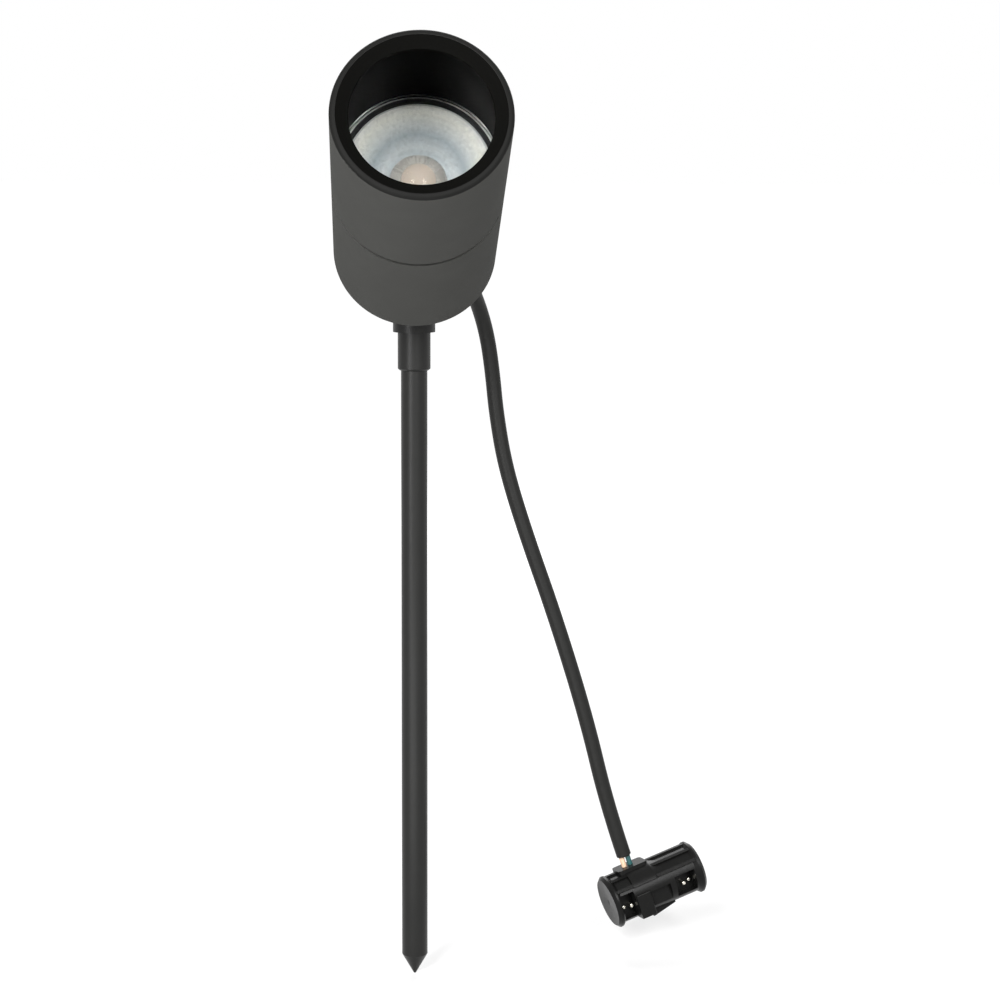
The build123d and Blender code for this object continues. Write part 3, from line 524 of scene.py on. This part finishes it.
# %% [markdown]
# ## Moulded nylon
# Gland and connector are injection-moulded glass-filled nylon. The gland is matt, the connector has
# the satin skin of a polished mould, with the faint flow marks that the filler leaves: a stretched
# noise of about 5 mm changes tone and gloss together. The mould's own grain is about 0.1 mm, so it
# is drawn coarser, at 0.5 mm.

# %% Nylon finishes
FLOW_MM = 5.0
MOULD_GRAIN_MM = 0.5
MOULD_GRAIN_DEPTH = 0.04 * MM
FLOW_GLOSS = 0.08


def nylon(name, dark, light, roughness, specular):
    """Injection-moulded nylon with faint flow marks."""
    made, tree = material(name)
    where = add(tree, "ShaderNodeTexCoord").outputs["Object"]
    flow = add(tree, "ShaderNodeTexNoise",
               {"Scale": per_metre(FLOW_MM), "Detail": 4.0, "Distortion": 1.5}, {"Vector": where})
    grain = add(tree, "ShaderNodeTexNoise", {"Scale": per_metre(MOULD_GRAIN_MM), "Detail": 2.0},
                {"Vector": where})
    tone = add(tree, "ShaderNodeMix", {"data_type": "RGBA", 6: linear(dark), 7: linear(light)},
               {0: flow.outputs["Fac"]})
    gloss = add(tree, "ShaderNodeMapRange",
                {"To Min": roughness - FLOW_GLOSS, "To Max": roughness + FLOW_GLOSS},
                {"Value": flow.outputs["Fac"]})
    bump = add(tree, "ShaderNodeBump", {"Strength": 0.2, "Distance": MOULD_GRAIN_DEPTH},
               {"Height": grain.outputs["Fac"]})
    skin = add(tree, "ShaderNodeBsdfPrincipled", {"IOR": 1.53, "Specular IOR Level": specular},
               {"Base Color": tone.outputs[2], "Roughness": gloss.outputs[0],
                "Normal": bump.outputs[0]})
    add(tree, "ShaderNodeOutputMaterial", None, {"Surface": skin.outputs[0]})
    return made


dress(nylon("matt_glass_filled_nylon", "#161616", "#1d1d1d", roughness=0.55, specular=0.3),
      "gland_body", "gland_nut", "gland_locknut")
dress(nylon("satin_glass_filled_nylon", "#0e0e0e", "#141413", roughness=0.3, specular=0.1),
      "connector_core")

# %% [markdown]
# ## Metals
# Screws are turned stainless steel, the lamp's heat sink is machined aluminium, and the contact
# pins are nickel-plated brass. The housing's thread is cut after coating, so its spigot is bare
# aluminium too, and its end shows as a thin bright line around the lamp. Turning and machining
# leave rings about the part's axis, under 0.1 mm apart. On pieces this small they only soften the
# reflection, so a coarser grain of 0.3 to 0.5 mm stands for them.

# %% Metal finishes
TOOL_DEPTH = 0.03 * MM


def bare_metal(name, dark, light, roughness, grain_mm):
    """Machined metal with a fine tool grain that softens its reflection."""
    made, tree = material(name)
    where = add(tree, "ShaderNodeTexCoord").outputs["Object"]
    grain = add(tree, "ShaderNodeTexNoise", {"Scale": per_metre(grain_mm), "Detail": 3.0},
                {"Vector": where})
    tone = add(tree, "ShaderNodeMix", {"data_type": "RGBA", 6: linear(dark), 7: linear(light)},
               {0: grain.outputs["Fac"]})
    gloss = add(tree, "ShaderNodeMapRange",
                {"To Min": roughness - 0.06, "To Max": roughness + 0.1},
                {"Value": grain.outputs["Fac"]})
    bump = add(tree, "ShaderNodeBump", {"Strength": 0.15, "Distance": TOOL_DEPTH},
               {"Height": grain.outputs["Fac"]})
    skin = add(tree, "ShaderNodeBsdfPrincipled", {"Metallic": 1.0},
               {"Base Color": tone.outputs[2], "Roughness": gloss.outputs[0],
                "Normal": bump.outputs[0]})
    add(tree, "ShaderNodeOutputMaterial", None, {"Surface": skin.outputs[0]})
    return made


dress(bare_metal("turned_stainless_steel", "#a9a9a6", "#bdbdb9", roughness=0.3, grain_mm=0.4),
      "pivot_screw", "pivot_nut", "lug_screws", "swivel_grub_screw")
aluminium = bare_metal("machined_aluminium", "#ced0ce", "#dfe1df", roughness=0.5, grain_mm=0.5)
dress(aluminium, "lamp_body", "spigot_thread")
dress(bare_metal("nickel_plated_brass", "#cdc9bd", "#dedacf", roughness=0.22, grain_mm=0.3),
      "connector_contacts", "lamp_pins")

# %% Bare thread on the coated housing
COAT_MARGIN = 0.5 * MM
BARE_FROM = SEAM_Z + COAT_MARGIN
BARE_R = SPIGOT_R - COAT_MARGIN
END_FACE = 0.1 * MM


def on_thread(face):
    """Whether a face of the housing was turned with the thread, after coating."""
    out = face.center - PIVOT
    height = out.dot(FORWARD)
    on_end = abs(height - SPIGOT_Z) < END_FACE
    return on_end or (height > BARE_FROM and (out - FORWARD * height).length > BARE_R)


dress_faces(aluminium, "rear_housing", on_thread)

# %% [markdown]
# ## The lamp's optics
# Behind the glass sits a reflector lamp. Its bowl is plastic with a bright vapour coat, moulded in
# rings and covered with tiny pebbles that mix the light. A mirror would show only black and white
# surroundings, and the coat is nearly white: creamy towards the rim and bluish further in, as thin
# coats are. So the tone runs along the radius, with paler and darker rings in it that are painted
# reflection. Each pebble's tone is painted reflection too: it differs a little from its neighbours'
# as if each threw back another bit of the surroundings. The source is a pale phosphor under a
# slightly milky dome. The phosphor's grit is finer than can be seen and is drawn at 0.8 mm.

# %% Vapour-coated reflector, with painted reflection in rings and pebbles
# Tones along the radius: the change from cream at the rim to bluish further in is the coat's tint.
# The paler ring near half the radius and the darker rings beside it are painted reflection.
COAT_TINT_AND_PAINTED_RINGS = ((0.38, "#cbd5db"), (0.50, "#e2e8eb"), (0.64, "#bcc7ce"), (0.76, "#e6e9e7"),
              (0.88, "#faf9f1"), (0.97, "#fdfdf8"))
PEBBLE_MM = 1.1
PEBBLE_DEPTH = 0.15 * MM
DARKEST_PEBBLE_PAINTED_REFLECTION = 0.82

reflector, tree = material("vapour_coated_reflector")
where = add(tree, "ShaderNodeTexCoord").outputs["Object"]
from_pivot = add(tree, "ShaderNodeVectorMath", {"operation": "SUBTRACT", 1: tuple(PIVOT)},
                 {0: where})
aside = add(tree, "ShaderNodeVectorMath", {"operation": "CROSS_PRODUCT", 1: tuple(FORWARD)},
            {0: from_pivot.outputs[0]})
radius = add(tree, "ShaderNodeVectorMath", {"operation": "LENGTH"}, {0: aside.outputs[0]})
share = add(tree, "ShaderNodeMath", {"operation": "DIVIDE", 1: LAMP_R},
            {0: radius.outputs["Value"]})
ramp = add(tree, "ShaderNodeValToRGB", None, {"Fac": share.outputs[0]})
for end, (place, code) in zip(ramp.color_ramp.elements, (COAT_TINT_AND_PAINTED_RINGS[0], COAT_TINT_AND_PAINTED_RINGS[-1])):
    end.position, end.color = place, linear(code)
for place, code in COAT_TINT_AND_PAINTED_RINGS[1:-1]:
    ramp.color_ramp.elements.new(place).color = linear(code)
pebbles = add(tree, "ShaderNodeTexVoronoi", {"Scale": per_metre(PEBBLE_MM)}, {"Vector": where})
# Painted reflection: each pebble's tone is darkened at random, down to the darkest value, for the
# surroundings it would mirror.
pebble_painted_reflection = add(tree, "ShaderNodeMapRange", {"To Min": DARKEST_PEBBLE_PAINTED_REFLECTION, "To Max": 1.0},
            {"Value": pebbles.outputs["Color"]})
tone = add(tree, "ShaderNodeMix", {"data_type": "RGBA", "blend_type": "MULTIPLY", 0: 1.0},
           {6: ramp.outputs["Color"], 7: pebble_painted_reflection.outputs[0]})
bump = add(tree, "ShaderNodeBump", {"Strength": 0.5, "Distance": PEBBLE_DEPTH, "invert": True},
           {"Height": pebbles.outputs["Distance"]})
skin = add(tree, "ShaderNodeBsdfPrincipled", {"Roughness": 0.35},
           {"Base Color": tone.outputs[2], "Normal": bump.outputs[0]})
add(tree, "ShaderNodeOutputMaterial", None, {"Surface": skin.outputs[0]})
dress(reflector, "lamp_reflector")

# %% Pale phosphor
GRIT_MM = 0.8

phosphor, tree = material("pale_phosphor")
where = add(tree, "ShaderNodeTexCoord").outputs["Object"]
grit = add(tree, "ShaderNodeTexNoise", {"Scale": per_metre(GRIT_MM), "Detail": 3.0},
           {"Vector": where})
tone = add(tree, "ShaderNodeMix",
           {"data_type": "RGBA", 6: linear("#f6d3ae"), 7: linear("#fbe9d2")},
           {0: grit.outputs["Fac"]})
skin = add(tree, "ShaderNodeBsdfPrincipled", {"Roughness": 0.7}, {"Base Color": tone.outputs[2]})
add(tree, "ShaderNodeOutputMaterial", None, {"Surface": skin.outputs[0]})
dress(phosphor, "led_chip")

# %% Milky dome
RIPPLE_MM = 3.0
RIPPLE_DEPTH = 0.1 * MM

silicone, tree = material("milky_moulded_silicone")
where = add(tree, "ShaderNodeTexCoord").outputs["Object"]
ripple = add(tree, "ShaderNodeTexNoise", {"Scale": per_metre(RIPPLE_MM), "Detail": 2.0},
             {"Vector": where})
bump = add(tree, "ShaderNodeBump", {"Strength": 0.08, "Distance": RIPPLE_DEPTH},
           {"Height": ripple.outputs["Fac"]})
skin = add(tree, "ShaderNodeBsdfPrincipled",
           {"Base Color": linear("#fdf8f2"), "Roughness": 0.15, "IOR": 1.41,
            "Transmission Weight": 0.75},
           {"Normal": bump.outputs[0]})
add(tree, "ShaderNodeOutputMaterial", None, {"Surface": skin.outputs[0]})
dress(silicone, "led_dome")

# %% [markdown]
# ## Moulded and extruded insulation
# The lamp's cap and holder are pale heat-proof plastic, its circuit board has a white solder mask,
# and the friction washers are cut from PTFE sheet. The cable's two cores have thin coloured
# insulation, one brown and one blue. They are small and plain, so one simple finish with a faint
# mottle of about 3 mm serves for all of them.

# %% Plain plastics
MOTTLE_MM = 3.0
MOTTLE_DEPTH = 0.03 * MM


def plastic(name, dark, light, roughness):
    """Plain moulded or extruded plastic, slightly uneven in tone."""
    made, tree = material(name)
    where = add(tree, "ShaderNodeTexCoord").outputs["Object"]
    mottle = add(tree, "ShaderNodeTexNoise", {"Scale": per_metre(MOTTLE_MM), "Detail": 3.0},
                 {"Vector": where})
    tone = add(tree, "ShaderNodeMix", {"data_type": "RGBA", 6: linear(dark), 7: linear(light)},
               {0: mottle.outputs["Fac"]})
    bump = add(tree, "ShaderNodeBump", {"Strength": 0.1, "Distance": MOTTLE_DEPTH},
               {"Height": mottle.outputs["Fac"]})
    skin = add(tree, "ShaderNodeBsdfPrincipled", {"Roughness": roughness},
               {"Base Color": tone.outputs[2], "Normal": bump.outputs[0]})
    add(tree, "ShaderNodeOutputMaterial", None, {"Surface": skin.outputs[0]})
    return made


dress(plastic("white_heat_proof_plastic", "#dddcd6", "#e8e7e2", roughness=0.5),
      "lamp_cap", "lamp_holder", "holder_leads")
dress(plastic("white_solder_mask", "#f6f5ef", "#fcfbf7", roughness=0.45), "led_board")
dress(plastic("cut_ptfe_sheet", "#d8d8d4", "#e4e4e0", roughness=0.45), "friction_washers")
dress(plastic("brown_core_insulation", "#d9b394", "#e6c6aa", roughness=0.4), "brown_core")
dress(plastic("blue_core_insulation", "#1f4a4c", "#2a5858", roughness=0.4), "blue_core")

# %% [markdown]
# ## Floor and surroundings
# The photograph has a plain white ground. A large pale floor lies under the spike's point and keeps
# the shadow. More lamps would make it white, and would bleach the object too. So only rays from the
# camera, and those that reflect or pass through glass, see floor and surroundings as white: the
# lamps lose strength further off, so there the floor is lifted more.

# %% White floor
FLOOR_HALF = 40.0
LIFT_REACH = 4.0
LIFT_AT_SPIKE = 0.44
LIFTS = ((0.1, 0.47), (0.16, 0.54), (0.22, 0.66), (0.3, 0.86), (0.4, 0.95), (0.56, 0.97))


def showing_ray(tree):
    """One for rays that show the ground: from the camera, through glass or off a gloss."""
    path = add(tree, "ShaderNodeLightPath")
    seen = add(tree, "ShaderNodeMath", {"operation": "MAXIMUM"},
               {0: path.outputs["Is Camera Ray"], 1: path.outputs["Is Transmission Ray"]})
    shown = add(tree, "ShaderNodeMath", {"operation": "MAXIMUM"},
                {0: seen.outputs[0], 1: path.outputs["Is Glossy Ray"]})
    return shown.outputs[0]


floor_z = cad_box[0].z
floor_mesh = bpy.data.meshes.new("studio_floor")
floor_mesh.from_pydata([(-FLOOR_HALF, -FLOOR_HALF, floor_z), (FLOOR_HALF, -FLOOR_HALF, floor_z),
                        (FLOOR_HALF, FLOOR_HALF, floor_z), (-FLOOR_HALF, FLOOR_HALF, floor_z)],
                       [], [(0, 1, 2, 3)])
floor = put_in_scene("studio_floor", floor_mesh)
paper, tree = material("white_studio_paper")
where = add(tree, "ShaderNodeTexCoord").outputs["Object"]
away = add(tree, "ShaderNodeVectorMath", {"operation": "LENGTH"}, {0: where})
part = add(tree, "ShaderNodeMath", {"operation": "DIVIDE", 1: LIFT_REACH},
           {0: away.outputs["Value"]})
glow = add(tree, "ShaderNodeValToRGB", None, {"Fac": part.outputs[0]})
glow.color_ramp.elements[0].color = (LIFT_AT_SPIKE, LIFT_AT_SPIKE, LIFT_AT_SPIKE, 1.0)
for place, lift in LIFTS:
    glow.color_ramp.elements.new(place).color = (lift, lift, lift, 1.0)
skin = add(tree, "ShaderNodeBsdfPrincipled",
           {"Base Color": linear("#c0c0c0"), "Roughness": 0.9, "Specular IOR Level": 0.0},
           {"Emission Color": glow.outputs["Color"], "Emission Strength": showing_ray(tree)})
add(tree, "ShaderNodeOutputMaterial", None, {"Surface": skin.outputs[0]})
floor_mesh.materials.append(paper)
print("floor at", round(floor_z / MM, 1), "mm")

# %% White surroundings
AMBIENT = 0.08

world = bpy.data.worlds.new("white_studio")
bpy.context.scene.world = world
world.use_nodes = True
tree = world.node_tree
tree.nodes.clear()
strength = add(tree, "ShaderNodeMapRange", {"To Min": AMBIENT, "To Max": 1.0},
               {"Value": showing_ray(tree)})
sky = add(tree, "ShaderNodeBackground", {"Color": (1.0, 1.0, 1.0, 1.0)},
          {"Strength": strength.outputs[0]})
add(tree, "ShaderNodeOutputWorld", None, {"Surface": sky.outputs[0]})
bpy.context.scene.view_settings.view_transform = "Standard"
print("surroundings at", AMBIENT)

# %% [markdown]
# ## Light
# The photograph has soft light from the front. Two softboxes there, the left one stronger, shine
# into the lamp from both sides of the head's axis. A panel on the table lights the underside of the
# head, and a low strip on the left draws a soft line along spike and collar. A large softbox behind
# lights the back and the top, so that the object can be seen from every side. Point lamps would
# draw hard shadows, so all are area lamps.

# %% Soft lamps
LAMP_MOUTH = (0, -0.09, 0.09)
HEAD_BELLY = (0, -0.08, 0.07)
UPPER_SPIKE = (0, 0, -0.08)
KNUCKLE = (0, 0, 0.02)


def soft_lamp(name, place, aim, width, height, watts):
    """Soft lamp of a given width and height at a place, turned to what it lights."""
    data = bpy.data.lights.new(name, "AREA")
    data.shape = "RECTANGLE"
    data.size = width
    data.size_y = height
    data.energy = watts
    lamp = put_in_scene(name, data)
    lamp.location = place
    lamp.rotation_mode = "QUATERNION"
    lamp.rotation_quaternion = (Vector(aim) - Vector(place)).to_track_quat("-Z", "Y")
    print(name, watts, "W")


soft_lamp("left_softbox", (-0.46, -1.06, 0.535), LAMP_MOUTH, width=0.4, height=0.6, watts=18)
soft_lamp("right_softbox", (0.40, -1.06, 0.535), LAMP_MOUTH, width=0.3, height=0.6, watts=12.5)
soft_lamp("table_panel", (-0.04, -0.22, -0.225), HEAD_BELLY, width=0.25, height=0.25, watts=0.5)
soft_lamp("left_strip", (-0.45, -0.67, -0.04), UPPER_SPIKE, width=0.14, height=0.36, watts=1.5)
soft_lamp("back_softbox", (0.1, 1.0, 0.75), KNUCKLE, width=1.0, height=1.0, watts=15)
